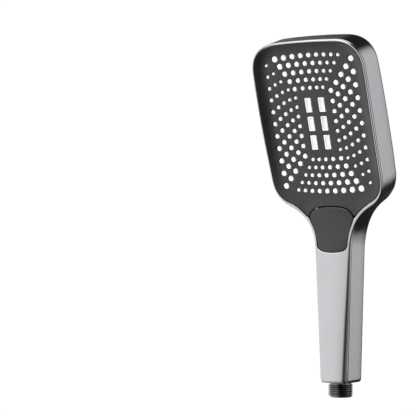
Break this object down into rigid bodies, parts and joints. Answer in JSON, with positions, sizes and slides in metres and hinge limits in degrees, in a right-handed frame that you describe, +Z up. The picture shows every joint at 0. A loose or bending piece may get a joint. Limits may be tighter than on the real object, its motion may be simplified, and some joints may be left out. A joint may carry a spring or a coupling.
{
  "type": "handheld shower head",
  "caption": "Flat rectangular hand shower with a charcoal spray face, a rocking mode button and a threaded hose inlet.",
  "frame": {"origin": "centre of the threaded inlet's end face, on the handle's axis", "axes": "+Z up the handle's axis, -Y the spray side, X across the width"},
  "size_m": [0.1088, 0.0752, 0.3013],
  "materials": {
    "plated_shell": "smooth electroplated plastic, gunmetal, soft gloss",
    "plated_frame": "smooth electroplated plastic, light gunmetal, bright rim",
    "charcoal_face": "fine satin moulded plastic, charcoal",
    "charcoal_button": "fine satin moulded plastic, charcoal",
    "white_silicone": "matt silicone, white",
    "white_resin": "ribbed white plastic",
    "inner_resin": "plain moulded plastic, light grey",
    "black_resin": "plain moulded plastic, black",
    "black_connector": "black threaded nipple, semi-gloss",
    "seal_rubber": "matt black rubber",
    "stainless": "stainless steel"
  },
  "bodies": {
    "root": {"rear_shell": "plated_shell", "front_frame": "plated_frame", "face_plate": "charcoal_face", "nozzle_mat": "white_silicone", "centre_jet_block": "white_resin", "flow_plate": "inner_resin", "chamber_gasket": "seal_rubber", "water_chamber": "inner_resin", "chamber_screw_1": "stainless", "chamber_screw_2": "stainless", "chamber_screw_3": "stainless", "chamber_screw_4": "stainless", "chamber_screw_5": "stainless", "chamber_screw_6": "stainless", "riser_duct": "inner_resin", "valve_body": "inner_resin", "valve_cap": "inner_resin", "valve_cap_screw_1": "stainless", "valve_cap_screw_2": "stainless", "detent_leaf": "stainless", "button_pin": "stainless", "button_spring": "stainless", "inner_tube": "inner_resin", "tube_oring_upper": "seal_rubber", "tube_oring_lower": "seal_rubber", "hose_connector": "black_connector", "retaining_clip": "stainless", "inlet_filter": "inner_resin", "flow_restrictor": "black_resin"},
    "button": {"mode_button": "charcoal_button"},
    "pawl": {"pawl_slide": "black_resin"},
    "selector": {"selector_drum": "black_resin", "ratchet_wheel": "black_resin", "drum_oring_1": "seal_rubber", "drum_oring_2": "seal_rubber"}
  },
  "joints": [
    {"name": "button_press", "type": "hinge", "parent": "root", "child": "button", "pos_m": [0, -0.0096, 0.1565], "axis": [1, 0, 0], "range_deg": [0, 6.3], "stiffness_Nm_per_rad": 0.35, "springref_deg": -2.86, "deforming": ["button_spring"]},
    {"name": "pawl_push", "type": "slide", "parent": "root", "child": "pawl", "axis": [0, 1, 0], "range_m": [0, 0.0026]},
    {"name": "selector_index", "type": "hinge", "parent": "root", "child": "selector", "pos_m": [0, 0.0035, 0.14], "axis": [1, 0, 0], "continuous": true}
  ],
  "couplings": [
    {"joint": "pawl_push", "follows": "button_press", "m_per_rad": 0.023}
  ]
}
